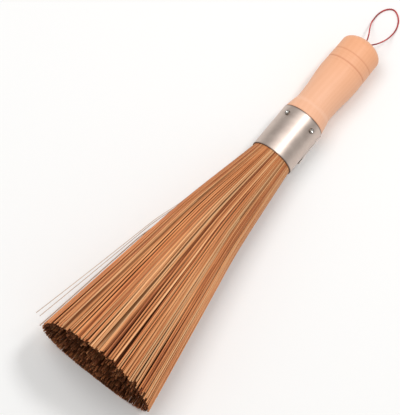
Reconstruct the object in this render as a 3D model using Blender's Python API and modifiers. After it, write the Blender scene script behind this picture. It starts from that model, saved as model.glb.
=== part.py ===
"""Pot scrubbing brush: a turned wooden handle, a rolled steel ferrule held by
four nails, a flaring head of bamboo splints and a red hanging cord.

Metres, +Z up.  The brush lies on the plane Z = 0 on the rim of its splints and
the end of its handle.  +X runs from the splint tips to the handle end.

Everything is laid out in millimetres along the brush's own axis, whose zero is
the ferrule's mouth: positive towards the handle, negative towards the tips.
An angle round the axis is measured from the brush's upper side towards +Y.
The empty "brush_axis" then tips the whole brush onto the plane.
"""
import math

import bmesh
import bpy
from mathutils import Euler, Matrix, Vector

MM = 0.001
GAP = 0.3                 # clearance kept between pieces that touch

# ---- ferrule ---------------------------------------------------------------
FERRULE_LEN = 34.5
FERRULE_R = 15.5          # outside radius
SHEET = 0.5               # sheet thickness
LAP = 18.0                # degrees by which the rolled sheet laps over itself
LAP_EDGE = 103.0          # where the outer edge of the lap lies, degrees from the top towards -Y
LAP_STEP = 0.62           # how far the lap is raised over the layer below it
LAP_START = 10.0          # the outer layer of the lap stops this far above the mouth
LAP_LIFT = 0.45           # its corner stands off by this much

# ---- handle ----------------------------------------------------------------
# (distance from the mouth, radius) from the domed end down to the ferrule
HANDLE_END = 105.9
DOME_H = 8.0
DOME_R = 14.65
HANDLE_BODY = [(97.9, 14.65), (93.0, 14.66)]
GROOVE_A = 88.95
GROOVE_B = 81.55
GROOVE_W = 0.9
GROOVE_D = 0.35
HANDLE_WAIST = [(78.0, 14.96), (74.4, 14.99), (70.8, 14.86), (67.3, 14.60), (63.8, 14.24),
                (60.5, 13.84), (56.7, 13.52), (53.0, 13.32), (49.6, 13.21), (46.6, 13.20)]
COLLAR = [(44.3, 13.42), (43.7, 13.72), (41.6, 14.14), (39.5, 14.50), (37.2, 14.90), (35.4, 15.20)]
SPIGOT_R = 14.65
SPIGOT_END = 18.0
POINT_R = 9.0             # the tapered point that spreads the splints
POINT_END = 3.5
CORD_HOLE_R = 2.6
CORD_HOLE_DEPTH = 12.0
TURNED_STEPS = 32

# ---- nails -----------------------------------------------------------------
NAIL_X = 28.2
NAIL_TURNS = [36.5, 125.0, 215.0, 315.0]    # degrees from the top towards +Y; hammered in by eye
NAIL_HEAD_R = 1.8
NAIL_HEAD_H = 0.6
NAIL_SHANK_R = 0.6
NAIL_LEN = 9.2
NAIL_HOLE_R = 0.95

# ---- splints ---------------------------------------------------------------
SPLINT_LEN = 185.0        # from the mouth to the cut tips
ROOT_LEN = 17.7           # clamped inside the ferrule
BUNDLE_COUNT = 12
MOUTH_R = 15.05
MOUTH_SPLIT_R = 11.4      # between the outer and the inner ring at the mouth
CORE_R = 3.7
TIP_HALF_W = 44.3         # half width of the head at the tips
TIP_TOP = 48.1            # height of its upper side over the axis
TIP_BOTTOM = 23.0         # depth of its flattened underside
TIP_FLAT = 22.6           # the underside is flat from here
TIP_LOWER_POWER = 2.3
SKIN_T = 2.6              # radial thickness of an outer bundle at the tips
SWAY = 2.8                # the head bows this far towards +Y, most at SWAY_X
SWAY_X = -62.0
STRAY_R = 0.55

# ---- hanging cord ----------------------------------------------------------
CORD_R = 0.55
LOOP_PIVOT = 106.6        # the loop swings about a line across the brush, just outside the hole
# The loop's route in the brush's own frame (along, across, up), in millimetres.  It leaves the
# hole straight, droops to the plane and lies there as a teardrop, wider on one side.
CORD_ROUTE = [(106.2, 1.2, 0.0), (109.2, 1.8, -0.3), (113.6, 3.6, -2.2), (117.1, 5.4, -4.7),
              (120.9, 7.2, -7.7), (125.6, 9.0, -11.1), (129.9, 9.7, -12.9), (134.0, 9.6, -13.0),
              (138.0, 8.5, -12.9), (140.8, 6.8, -12.8), (142.7, 4.6, -12.75), (143.2, 2.0, -12.75),
              (141.9, -1.0, -12.8), (139.4, -3.8, -12.85), (136.1, -5.7, -12.95), (132.6, -6.8, -12.95),
              (129.0, -7.2, -12.4), (124.4, -7.3, -10.3), (119.1, -7.1, -6.4), (114.3, -6.4, -2.8),
              (110.7, -5.2, -0.8), (108.2, -3.6, -0.1), (106.2, -1.95, 0.0)]


def direction(turn):
    """Unit vector square to the axis, turn degrees from the upper side towards +Y."""
    a = math.radians(turn)
    return Vector((0.0, math.sin(a), math.cos(a)))


def tangent(turn):
    a = math.radians(turn)
    return Vector((0.0, math.cos(a), -math.sin(a)))


def tip_radius(turn):
    """The head's outline at the cut tips: round above, flattened where it lies."""
    s, c = abs(math.sin(math.radians(turn))), math.cos(math.radians(turn))
    if c >= 0:
        return 1.0 / math.sqrt((s / TIP_HALF_W) ** 2 + (c / TIP_TOP) ** 2)
    n = TIP_LOWER_POWER
    r = ((s / TIP_HALF_W) ** n + (-c / TIP_BOTTOM) ** n) ** (-1.0 / n)
    return min(r, TIP_FLAT / -c)


def handle_profile():
    """Outer side of the handle from the rim of the cord hole to the ferrule's shoulder."""
    pts = []
    steps = 8
    first = math.asin(CORD_HOLE_R / DOME_R)
    for i in range(steps + 1):
        a = first + (math.pi / 2 - first) * i / steps
        pts.append((HANDLE_END - DOME_H + DOME_H * math.cos(a), DOME_R * math.sin(a)))
    pts += HANDLE_BODY[1:]
    for x, r in ((GROOVE_A, 14.72), (GROOVE_B, 14.90)):
        pts += [(x + GROOVE_W / 2, r), (x, r - GROOVE_D), (x - GROOVE_W / 2, r)]
    pts += HANDLE_WAIST
    pts += COLLAR
    return pts


def rest_tilt():
    """Angle and height at which the splint rim and the handle end both lie on the plane."""
    g = 0.0
    for _ in range(20):
        x, r = min(handle_profile(), key=lambda p: -p[0] * math.sin(g) - p[1] * math.cos(g))
        g = math.atan((TIP_FLAT - r) / (SPLINT_LEN + x))
    return g, TIP_FLAT * math.cos(g) - SPLINT_LEN * math.sin(g)


# ---- scene helpers ---------------------------------------------------------
def clear_scene():
    for ob in list(bpy.data.objects):
        bpy.data.objects.remove(ob, do_unlink=True)
    for coll in list(bpy.data.collections):
        bpy.data.collections.remove(coll)


def collection(name):
    coll = bpy.data.collections.new(name)
    bpy.context.scene.collection.children.link(coll)
    return coll


def material(name, colour, roughness, metallic=0.0):
    mat = bpy.data.materials.new(name)
    mat.use_nodes = True
    bsdf = mat.node_tree.nodes["Principled BSDF"]
    bsdf.inputs["Base Color"].default_value = (*colour, 1.0)
    bsdf.inputs["Roughness"].default_value = roughness
    bsdf.inputs["Metallic"].default_value = metallic
    mat.diffuse_color = (*colour, 1.0)
    return mat


def add(name, data, mat, parent, at=(0, 0, 0), turn=(0, 0, 0)):
    """Link an object under the brush axis; at is in millimetres."""
    ob = bpy.data.objects.new(name, data)
    PARTS.objects.link(ob)
    if data.materials:
        data.materials[0] = mat
    else:
        data.materials.append(mat)
    ob.parent = parent
    ob.location = Vector(at) * MM
    ob.rotation_euler = turn
    return ob


def profile_mesh(name, points):
    """An edge chain (radius along X, height along Z) for a Screw modifier."""
    me = bpy.data.meshes.new(name)
    bm = bmesh.new()
    verts = [bm.verts.new((r * MM, 0.0, z * MM)) for z, r in points]
    for a, b in zip(verts, verts[1:]):
        bm.edges.new((a, b))
    bm.to_mesh(me)
    bm.free()
    return me


def screw(ob, steps):
    mod = ob.modifiers.new("turn", "SCREW")
    mod.axis = "Z"
    mod.angle = 2 * math.pi
    mod.steps = steps
    mod.render_steps = steps
    mod.use_merge_vertices = True
    mod.merge_threshold = 0.00001
    mod.use_smooth_shade = True
    return mod


def cut(ob, cutter):
    mod = ob.modifiers.new("cut", "BOOLEAN")
    mod.operation = "DIFFERENCE"
    mod.solver = "EXACT"
    mod.object = cutter
    return mod


def loft(name, rings, origin):
    """A closed solid through rings of equal point counts, about its own origin (mm)."""
    me = bpy.data.meshes.new(name)
    bm = bmesh.new()
    rows = [[bm.verts.new((p - origin) * MM) for p in ring] for ring in rings]
    n = len(rows[0])
    for a, b in zip(rows, rows[1:]):
        for i in range(n):
            j = (i + 1) % n
            bm.faces.new((a[i], a[j], b[j], b[i]))
    bm.faces.new(rows[0])
    bm.faces.new(rows[-1])
    bmesh.ops.recalc_face_normals(bm, faces=bm.faces)
    bm.to_mesh(me)
    bm.free()
    return me


def tube(name, points, radius, sides_resolution=2):
    """A round wire along a smooth chain of points, with both ends filled."""
    cu = bpy.data.curves.new(name, "CURVE")
    cu.dimensions = "3D"
    cu.bevel_depth = radius * MM
    cu.bevel_resolution = sides_resolution
    cu.use_fill_caps = True
    cu.resolution_u = 1
    cu.render_resolution_u = 0
    sp = cu.splines.new("POLY")
    sp.points.add(len(points) - 1)
    for pt, co in zip(sp.points, points):
        pt.co = (co[0] * MM, co[1] * MM, co[2] * MM, 1.0)
    return cu


def smooth_route(route, per_span):
    """Points on a smooth curve through the route's own points."""
    pts = [Vector(p) for p in route]
    ext = [2 * pts[0] - pts[1]] + pts + [2 * pts[-1] - pts[-2]]
    out = []
    for i in range(1, len(ext) - 2):
        p0, p1, p2, p3 = ext[i - 1:i + 3]
        for k in range(per_span):
            t = k / per_span
            out.append(0.5 * (2 * p1 + (p2 - p0) * t + (2 * p0 - 5 * p1 + 4 * p2 - p3) * t * t
                              + (3 * p1 - 3 * p2 + p3 - p0) * t ** 3))
    out.append(pts[-1])
    return out


def even_route(route, spacing):
    """The same curve with its points at an even spacing."""
    fine = smooth_route(route, 24)
    length = sum((b - a).length for a, b in zip(fine, fine[1:]))
    count = max(3, round(length / spacing))
    out, done, k = [fine[0]], 0.0, 1
    for i in range(1, count):
        want = length * i / count
        while done + (fine[k] - fine[k - 1]).length < want:
            done += (fine[k] - fine[k - 1]).length
            k += 1
        seg = fine[k] - fine[k - 1]
        out.append(fine[k - 1] + seg * ((want - done) / seg.length))
    out.append(fine[-1])
    return out


# ---- pieces ----------------------------------------------------------------
def make_handle(axis, cutter):
    prof = [(HANDLE_END - CORD_HOLE_DEPTH, 0.0), (HANDLE_END - CORD_HOLE_DEPTH, CORD_HOLE_R)]
    prof += handle_profile()
    shoulder = FERRULE_LEN + GAP
    prof += [(shoulder, 15.2), (shoulder, SPIGOT_R), (SPIGOT_END, SPIGOT_R), (SPIGOT_END, POINT_R),
             (POINT_END, 1.0), (POINT_END, 0.0)]
    ob = add("handle", profile_mesh("handle", prof), WOOD, axis, turn=(0, math.pi / 2, 0))
    screw(ob, TURNED_STEPS)
    cut(ob, cutter)
    return ob


def make_ferrule(axis, cutter):
    """A sheet rolled round the axis; its outer layer laps over the start of the inner one."""
    mid = FERRULE_R - SHEET / 2
    columns = 72
    total = 360.0 + LAP
    turns = [total * i / columns for i in range(columns + 1)]
    stations = [0.0, LAP_START, 12.0, 14.5, 18.0, FERRULE_LEN]

    def smooth(t):
        t = min(1.0, max(0.0, t))
        return t * t * (3 - 2 * t)

    me = bpy.data.meshes.new("ferrule")
    bm = bmesh.new()
    grid = []
    for x in stations:
        row = []
        for t in turns:
            r = mid + LAP_STEP * smooth((t - 340.0) / 17.0)
            r += LAP_LIFT * smooth((18.0 - x) / 8.0) * smooth((t - 361.0) / 17.0)
            psi = LAP_EDGE + LAP - t
            row.append(bm.verts.new((Vector((x, 0, 0)) + r * direction(-psi)) * MM))
        grid.append(row)
    for j in range(len(stations) - 1):
        for i in range(columns):
            if stations[j] < LAP_START and turns[i + 1] > 358.0:
                continue
            bm.faces.new((grid[j][i], grid[j][i + 1], grid[j + 1][i + 1], grid[j + 1][i]))
    loose = [v for v in bm.verts if not v.link_faces]
    bmesh.ops.delete(bm, geom=loose, context="VERTS")
    bm.to_mesh(me)
    bm.free()
    ob = add("ferrule", me, STEEL, axis)
    mod = ob.modifiers.new("sheet", "SOLIDIFY")
    mod.thickness = SHEET * MM
    mod.offset = 0.0
    cut(ob, cutter)
    return ob


def make_nail_holes(axis):
    """Four radial holes through the ferrule into the handle's spigot."""
    me = bpy.data.meshes.new("nail_holes")
    bm = bmesh.new()
    low, high = FERRULE_R - NAIL_LEN - 0.4, FERRULE_R + 4.0
    for turn in NAIL_TURNS:
        spin = Matrix.Rotation(-math.radians(turn), 4, "X")
        shift = Matrix.Translation((0, 0, (low + high) / 2 * MM))
        bmesh.ops.create_cone(bm, cap_ends=True, segments=12, radius1=NAIL_HOLE_R * MM,
                              radius2=NAIL_HOLE_R * MM, depth=(high - low) * MM, matrix=spin @ shift)
    bm.to_mesh(me)
    bm.free()
    ob = bpy.data.objects.new("nail_holes", me)
    CUTTERS.objects.link(ob)
    ob.parent = axis
    ob.location = (NAIL_X * MM, 0, 0)
    ob.hide_render = True
    ob.display_type = "WIRE"
    return ob


def make_nails(axis):
    seat = FERRULE_R + GAP
    prof = [(seat + NAIL_HEAD_H, 0.0), (seat + NAIL_HEAD_H * 0.86, NAIL_HEAD_R * 0.5),
            (seat + NAIL_HEAD_H * 0.5, NAIL_HEAD_R * 0.85), (seat + 0.1, NAIL_HEAD_R),
            (seat, NAIL_HEAD_R * 0.97), (seat, NAIL_SHANK_R), (FERRULE_R - NAIL_LEN + 1.6, NAIL_SHANK_R),
            (FERRULE_R - NAIL_LEN, 0.0)]
    mesh = profile_mesh("nail", prof)
    for k, turn in enumerate(NAIL_TURNS):
        ob = add(f"nail_{k + 1}", mesh, NAIL_STEEL, axis, at=(NAIL_X, 0, 0), turn=(-math.radians(turn), 0, 0))
        screw(ob, 12)


def make_roots(axis):
    """The clamped roots of all the splints, packed round the handle's point."""
    top = ROOT_LEN
    slope = (POINT_R - 1.0) / (SPIGOT_END - POINT_END)
    mouth_of_point = 1.0 + slope * (top - POINT_END) + 2 * GAP
    prof = [(POINT_END - 1.2, 0.0), (POINT_END - 1.2, 1.0 + GAP), (top, mouth_of_point), (top, SPIGOT_R),
            (GAP, SPIGOT_R), (GAP, 0.0)]
    ob = add("splint_roots", profile_mesh("splint_roots", prof), BAMBOO, axis, turn=(0, math.pi / 2, 0))
    screw(ob, TURNED_STEPS)


def sway(x):
    """The head isn't quite straight: sideways shift of its middle at a distance x from the mouth."""
    if x > SWAY_X:
        return SWAY * (x + GAP) / (SWAY_X + GAP)
    return SWAY * (SPLINT_LEN + x) / (SPLINT_LEN + SWAY_X)


def surface_radius(x, turn):
    """Outside of the bundles at a distance x from the mouth."""
    t = (-x - GAP) / (SPLINT_LEN - GAP)
    return MOUTH_R + (tip_radius(turn) - MOUTH_R) * t


def sector(x, inner, outer, lo, hi, n, gap):
    """Closed outline of one bundle: its outer arc forwards, then its inner arc back."""
    pts = []
    for radius, order in ((outer, range(n + 1)), (inner, range(n, -1, -1))):
        for i in order:
            turn = lo + (hi - lo) * i / n
            p = Vector((x, sway(x), 0)) + radius(turn) * direction(turn)
            if i == 0:
                p += gap * tangent(turn)
            elif i == n:
                p -= gap * tangent(turn)
            pts.append(p)
    return pts


def make_bundles(axis):
    """Twelve outer bundles and the twelve behind them, each with its origin on its hinge."""
    half = 180.0 / BUNDLE_COUNT
    for k in range(BUNDLE_COUNT):
        mid = 360.0 * k / BUNDLE_COUNT
        lo, hi = mid - half, mid + half
        pivot = FERRULE_R * direction(mid)
        share = (-SWAY_X - GAP) / (SPLINT_LEN - GAP)

        def at(mouth, tip, share=share):
            """The same boundary between the mouth and the tips, where the head bows most."""
            return lambda t: mouth(t) + (tip(t) - mouth(t)) * share

        bounds = (lambda t: MOUTH_SPLIT_R + GAP / 2, lambda t: MOUTH_R,
                  lambda t: tip_radius(t) - SKIN_T, tip_radius)
        rings = [sector(-GAP, bounds[0], bounds[1], lo, hi, 4, GAP / 2),
                 sector(SWAY_X, at(bounds[0], bounds[2]), at(bounds[1], bounds[3]), lo, hi, 4, GAP / 2),
                 sector(-SPLINT_LEN, bounds[2], bounds[3], lo, hi, 4, GAP / 2)]
        add(f"outer_bundle_{k + 1:02d}", loft("outer_bundle", rings, pivot), BAMBOO, axis, at=pivot)
        w = 5.0
        v = half + (w - half) * share
        bounds = (lambda t: CORE_R + GAP, lambda t: MOUTH_SPLIT_R - GAP / 2,
                  lambda t: 0.45 * tip_radius(t), lambda t: 0.57 * tip_radius(t))
        rings = [sector(-GAP, bounds[0], bounds[1], lo, hi, 3, GAP / 2),
                 sector(SWAY_X, at(bounds[0], bounds[2]), at(bounds[1], bounds[3]), mid - v, mid + v, 3, 0.0),
                 sector(-SPLINT_LEN, bounds[2], bounds[3], mid - w, mid + w, 3, 0.0)]
        add(f"inner_bundle_{k + 1:02d}", loft("inner_bundle", rings, pivot), BAMBOO_DARK, axis, at=pivot)


def make_core(axis):
    n = 12
    rings = []
    for x, scale in ((-GAP, 0.0), (SWAY_X, 0.33), (-SPLINT_LEN, 1.0)):
        ring = []
        for i in range(n):
            turn = 360.0 * i / n
            r = CORE_R + (0.10 * tip_radius(turn) - CORE_R) * scale
            ring.append(Vector((x, sway(x), 0)) + r * direction(turn))
        rings.append(ring)
    add("core_bundle", loft("core_bundle", rings, Vector((0, 0, 0))), BAMBOO_DARK, axis)


# name, turn, start of its free length, standing off at the tip, how far its tip falls short
STRAYS = [("stray_splint_1", 80.0, -62.0, 7.0, 3.8),
          ("stray_splint_2", 84.5, -66.0, 4.4, 4.6),
          ("stray_splint_3", 89.5, -80.0, 0.6, 0.6)]


def stray_points(turn, start, off, short):
    """Centre line of a splint that peels off the head and stands clear at the tip."""
    pts, n = [], 9
    end = -SPLINT_LEN + short
    for i in range(n + 1):
        t = i / n
        x = start + (end - start) * t
        r = surface_radius(x, turn) + STRAY_R + GAP + 0.35 + off * (0.82 * t + 0.18 * t * t)
        pts.append(Vector((x, sway(x), 0)) + r * direction(turn))
    return pts


def make_strays(axis):
    for name, turn, start, off, short in STRAYS:
        pts = stray_points(turn, start, off, short)
        pivot = pts[0]
        add(name, tube(name, [p - pivot for p in pts], STRAY_R), BAMBOO_PALE, axis, at=pivot)


def make_cord_plug(axis):
    """The glued knot that fills the hole and grips both legs of the cord."""
    low, high = HANDLE_END - CORD_HOLE_DEPTH + GAP, HANDLE_END - GAP
    r = CORD_HOLE_R - GAP
    prof = [(high, 0.0), (high, r * 0.7), (high - 0.5, r), (low + 0.5, r), (low, r * 0.7), (low, 0.0)]
    ob = add("cord_plug", profile_mesh("cord_plug", prof), PLUG, axis, turn=(0, math.pi / 2, 0))
    screw(ob, 12)


def cord_points():
    return even_route(CORD_ROUTE, 1.6)


def make_cord(axis):
    pivot = Vector((LOOP_PIVOT, 0, 0))
    pts = [p - pivot for p in cord_points()]
    add("hanging_cord", tube("hanging_cord", pts, CORD_R), CORD_RED, axis, at=pivot)


def settle(axis):
    """Lay the brush on the plane with the middle of its base, without the cord, at the origin."""
    g, lift = rest_tilt()
    axis.rotation_euler = Euler((0, g, 0))
    axis.location = (0, 0, lift * MM)
    bpy.context.view_layer.update()
    dg = bpy.context.evaluated_depsgraph_get()
    low, high = [1e9] * 3, [-1e9] * 3
    for ob in PARTS.objects:
        if ob.type == "EMPTY" or ob.name == "hanging_cord":
            continue
        ev = ob.evaluated_get(dg)
        me = ev.to_mesh()
        for v in me.vertices:
            co = ev.matrix_world @ v.co
            for i in range(3):
                low[i], high[i] = min(low[i], co[i]), max(high[i], co[i])
        ev.to_mesh_clear()
    axis.location = (-(low[0] + high[0]) / 2, -(low[1] + high[1]) / 2, lift * MM - low[2])
    bpy.context.view_layer.update()


clear_scene()
PARTS = collection("pot_scrubbing_brush")
CUTTERS = collection("cutters")

WOOD = material("handle_wood", (0.87, 0.52, 0.32), 0.42)
STEEL = material("ferrule_steel", (0.63, 0.60, 0.57), 0.28, 1.0)
NAIL_STEEL = material("nail_steel", (0.78, 0.77, 0.75), 0.2, 1.0)
BAMBOO = material("bamboo", (0.61, 0.29, 0.12), 0.5)
BAMBOO_DARK = material("bamboo_inner", (0.42, 0.19, 0.08), 0.6)
BAMBOO_PALE = material("bamboo_pale", (0.72, 0.46, 0.24), 0.5)
PLUG = material("cord_plug", (0.26, 0.016, 0.013), 0.8)
CORD_RED = material("cord_red", (0.62, 0.05, 0.05), 0.6)

AXIS = bpy.data.objects.new("brush_axis", None)
PARTS.objects.link(AXIS)
HOLES = make_nail_holes(AXIS)
make_handle(AXIS, HOLES)
make_ferrule(AXIS, HOLES)
make_nails(AXIS)
make_roots(AXIS)
make_bundles(AXIS)
make_core(AXIS)
make_strays(AXIS)
make_cord_plug(AXIS)
make_cord(AXIS)
settle(AXIS)

for piece in PARTS.objects:
    if piece.type == "MESH" and len(piece.data.polygons):
        piece.data.shade_smooth()
        piece.data.set_sharp_from_angle(angle=math.radians(35))
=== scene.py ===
import math

import bmesh
import bpy
import numpy as np
from mathutils import Matrix, Vector


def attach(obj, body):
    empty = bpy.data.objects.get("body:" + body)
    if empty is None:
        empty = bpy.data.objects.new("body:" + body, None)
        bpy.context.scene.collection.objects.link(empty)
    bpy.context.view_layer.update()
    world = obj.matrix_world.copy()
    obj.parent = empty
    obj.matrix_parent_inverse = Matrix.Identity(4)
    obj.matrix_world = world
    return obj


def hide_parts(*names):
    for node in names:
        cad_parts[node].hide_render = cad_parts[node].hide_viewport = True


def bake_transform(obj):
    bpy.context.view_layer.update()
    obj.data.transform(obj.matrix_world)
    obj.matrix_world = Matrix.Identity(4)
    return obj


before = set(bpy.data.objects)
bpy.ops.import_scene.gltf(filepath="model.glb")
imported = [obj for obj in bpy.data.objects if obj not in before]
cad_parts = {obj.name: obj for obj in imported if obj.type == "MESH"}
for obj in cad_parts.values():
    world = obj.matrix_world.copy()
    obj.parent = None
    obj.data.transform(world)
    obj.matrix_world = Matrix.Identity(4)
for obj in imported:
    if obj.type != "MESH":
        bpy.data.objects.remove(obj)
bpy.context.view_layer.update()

MM = 0.001

# The brush's own frame, in millimetres: x = 0 is the ferrule's mouth, + towards the handle, and an
# angle is measured from the upper side towards +Y.  It lies tipped on the plane Z = 0.
TILT = 0.028094408823052943
ORIGIN = (0.039879314601421356, -0.0037668030709028244, 0.017433106899261475)
FRAME = Matrix.Translation(ORIGIN) @ Matrix.Rotation(TILT, 4, "Y")
SPIN = np.array(FRAME.to_3x3())

FERRULE_LEN = 34.5
FERRULE_R = 15.5
SHEET = 0.5
LAP = 18.0
LAP_EDGE = 103.0
LAP_STEP = 0.62
LAP_START = 10.0
LAP_LIFT = 0.45
HANDLE_END = 105.9
DOME_H = 8.0
DOME_R = 14.65
CORD_HOLE_R = 2.6
CORD_HOLE_DEPTH = 12.0
GROOVE_A = 88.95
GROOVE_B = 81.55
NAIL_X = 28.2
NAIL_TURNS = [36.5, 125.0, 215.0, 315.0]
SPLINT_LEN = 185.0
TIP_HALF_W = 44.3
TIP_TOP = 48.1
TIP_BOTTOM = 23.0
TIP_FLAT = 22.6
TIP_POWER = 2.3
MOUTH_R = 15.05
LOOP_PIVOT = 106.6


def place(p):
    """Points of the brush's own frame (mm) in the shared frame (m)."""
    return (np.asarray(p, float) * MM) @ SPIN.T + np.array(ORIGIN)


def direction(t):
    t = np.radians(t)
    return np.stack([np.zeros_like(t), np.sin(t), np.cos(t)], -1)


def tangent(t):
    t = np.radians(t)
    return np.stack([np.zeros_like(t), np.cos(t), -np.sin(t)], -1)


def smooth(t):
    t = np.clip(t, 0.0, 1.0)
    return t * t * (3 - 2 * t)


def tip_radius(turn):
    t = np.radians(turn)
    s, c = np.abs(np.sin(t)), np.cos(t)
    upper = 1.0 / np.sqrt((s / TIP_HALF_W) ** 2 + (np.maximum(c, 0) / TIP_TOP) ** 2)
    low = ((s / TIP_HALF_W) ** TIP_POWER + (np.maximum(-c, 0) / TIP_BOTTOM) ** TIP_POWER) ** (-1 / TIP_POWER)
    flat = TIP_FLAT / np.maximum(-c, 1e-6)
    return np.where(c >= 0, upper, np.minimum(low, flat))


def sway(x):
    """The head's slight bow to one side, in mm."""
    rise, fall = 2.8 * np.maximum(-x - 0.3, 0) / 61.7, 2.8 * (SPLINT_LEN + x) / 123.0
    return -0.5 * np.log(np.exp(-rise / 0.5) + np.exp(-fall / 0.5) - np.exp(-(rise + fall) / 0.5))


def surface_radius(x, turn):
    t = (-x - 0.3) / (SPLINT_LEN - 0.3)
    return MOUTH_R + (tip_radius(turn) - MOUTH_R) * t


# ---- camera and light ------------------------------------------------------
def make_camera():
    """The photograph's view: from above, on the side of the tips."""
    right = Vector((0.6169191280205195, -0.7863040952343814, 0.033714378239002446))
    down = Vector((-0.7341473711753713, -0.5903781549769325, -0.3353822766967936))
    ahead = Vector((0.283616690056656, 0.1821524195383467, -0.941478661031482))
    at = Vector((-478.3299655916778, -255.32480949670375, 1399.7445307386688))
    rot = Matrix((right, -down, -ahead)).transposed()
    data = bpy.data.cameras.new("photo_view")
    data.sensor_fit = "HORIZONTAL"
    data.sensor_width = 36.0
    data.lens = 2268.7610600341595 / 400.0 * 36.0
    data.clip_start = 0.05
    data.clip_end = 20.0
    cam = bpy.data.objects.new("photo_view", data)
    bpy.context.scene.collection.objects.link(cam)
    cam.matrix_world = Matrix.Translation(FRAME @ (at * MM)) @ (FRAME.to_3x3() @ rot).to_4x4()
    bpy.context.scene.camera = cam


def softbox(name, azimuth, elevation, distance, size, power, colour=(1, 1, 1)):
    a, e = math.radians(azimuth), math.radians(elevation)
    toward = Vector((math.cos(e) * math.cos(a), math.cos(e) * math.sin(a), math.sin(e)))
    data = bpy.data.lights.new(name, "AREA")
    data.shape = "RECTANGLE"
    data.size, data.size_y = size
    data.energy = power
    data.color = colour
    ob = bpy.data.objects.new(name, data)
    bpy.context.scene.collection.objects.link(ob)
    ob.location = toward * distance
    ob.rotation_euler = toward.to_track_quat("Z", "Y").to_euler()
    return ob


def make_studio():
    world = bpy.data.worlds.new("studio")
    bpy.context.scene.world = world
    world.use_nodes = True
    back = world.node_tree.nodes["Background"]
    back.inputs["Color"].default_value = (1.0, 0.99, 0.975, 1)
    back.inputs["Strength"].default_value = 0.47
    softbox("key_softbox", -30, 64, 1.5, (0.34, 0.26), 7.0)
    softbox("top_softbox", 95, 74, 1.7, (0.9, 0.9), 10.6)
    floor_mesh = bpy.data.meshes.new("floor")
    bm = bmesh.new()
    bmesh.ops.create_grid(bm, x_segments=1, y_segments=1, size=3.0)
    bm.to_mesh(floor_mesh)
    bm.free()
    floor = bpy.data.objects.new("floor", floor_mesh)
    bpy.context.scene.collection.objects.link(floor)
    mat = bpy.data.materials.new("floor")
    mat.use_nodes = True
    bsdf = mat.node_tree.nodes["Principled BSDF"]
    bsdf.inputs["Base Color"].default_value = (0.93, 0.93, 0.925, 1)
    bsdf.inputs["Roughness"].default_value = 0.9
    bsdf.inputs["Specular IOR Level"].default_value = 0.1
    floor_mesh.materials.append(mat)
    scene = bpy.context.scene
    scene.view_settings.view_transform = "Standard"
    scene.view_settings.look = "None"
    scene.view_settings.exposure = 0.0


# ---- material helpers ------------------------------------------------------
class Shader:
    """A Principled material with short calls for the nodes behind its colour, roughness and bump."""

    def __init__(self, name, roughness=0.5, metallic=0.0, specular=0.5, coat=0.0, coat_roughness=0.1):
        self.mat = bpy.data.materials.new(name)
        self.mat.use_nodes = True
        self.tree = self.mat.node_tree
        self.bsdf = self.tree.nodes["Principled BSDF"]
        self.bsdf.inputs["Roughness"].default_value = roughness
        self.bsdf.inputs["Metallic"].default_value = metallic
        self.bsdf.inputs["Specular IOR Level"].default_value = specular
        self.bsdf.inputs["Coat Weight"].default_value = coat
        self.bsdf.inputs["Coat Roughness"].default_value = coat_roughness

    def put(self, node, key, value):
        if isinstance(value, bpy.types.NodeSocket):
            self.tree.links.new(value, node.inputs[key])
        elif value is not None:
            node.inputs[key].default_value = value

    def attribute(self, name, kind="Fac"):
        n = self.tree.nodes.new("ShaderNodeAttribute")
        n.attribute_name = name
        return n.outputs[kind]

    def stretch(self, vector, scale):
        n = self.tree.nodes.new("ShaderNodeMapping")
        self.put(n, "Vector", vector)
        n.inputs["Scale"].default_value = scale
        return n.outputs["Vector"]

    def noise(self, vector, scale=1.0, detail=3.0, rough=0.55, distortion=0.0):
        n = self.tree.nodes.new("ShaderNodeTexNoise")
        self.put(n, "Vector", vector)
        n.inputs["Scale"].default_value = scale
        n.inputs["Detail"].default_value = detail
        n.inputs["Roughness"].default_value = rough
        n.inputs["Distortion"].default_value = distortion
        return n.outputs["Fac"]

    def span(self, value, a, b, lo=0.0, hi=1.0, kind="SMOOTHSTEP"):
        n = self.tree.nodes.new("ShaderNodeMapRange")
        n.interpolation_type = kind
        self.put(n, "Value", value)
        n.inputs["From Min"].default_value = a
        n.inputs["From Max"].default_value = b
        n.inputs["To Min"].default_value = lo
        n.inputs["To Max"].default_value = hi
        return n.outputs["Result"]

    def math(self, op, a, b=None):
        n = self.tree.nodes.new("ShaderNodeMath")
        n.operation = op
        self.put(n, 0, a)
        self.put(n, 1, b)
        return n.outputs["Value"]

    def mix(self, fac, a, b, blend="MIX"):
        n = self.tree.nodes.new("ShaderNodeMix")
        n.data_type = "RGBA"
        n.blend_type = blend
        sockets = [s for s in n.inputs if s.enabled]
        for s, v in zip(sockets, (fac, a, b)):
            if isinstance(v, bpy.types.NodeSocket):
                self.tree.links.new(v, s)
            else:
                s.default_value = v
        return next(s for s in n.outputs if s.enabled)

    def ramp(self, value, stops):
        n = self.tree.nodes.new("ShaderNodeValToRGB")
        self.put(n, "Fac", value)
        el = n.color_ramp.elements
        el[0].position, el[0].color = stops[0][0], (*stops[0][1], 1)
        el[1].position, el[1].color = stops[-1][0], (*stops[-1][1], 1)
        for pos, col in stops[1:-1]:
            e = el.new(pos)
            e.color = (*col, 1)
        return n.outputs["Color"]

    def grey(self, value):
        n = self.tree.nodes.new("ShaderNodeCombineColor")
        for i in range(3):
            self.tree.links.new(value, n.inputs[i])
        return n.outputs["Color"]

    def bump(self, height, strength, distance, under=None):
        n = self.tree.nodes.new("ShaderNodeBump")
        n.inputs["Strength"].default_value = strength
        n.inputs["Distance"].default_value = distance
        self.put(n, "Height", height)
        self.put(n, "Normal", under)
        return n.outputs["Normal"]

    def finish(self, colour=None, rough=None, normal=None):
        self.put(self.bsdf, "Base Color", colour)
        self.put(self.bsdf, "Roughness", rough)
        self.put(self.bsdf, "Normal", normal)
        return self.mat


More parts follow.
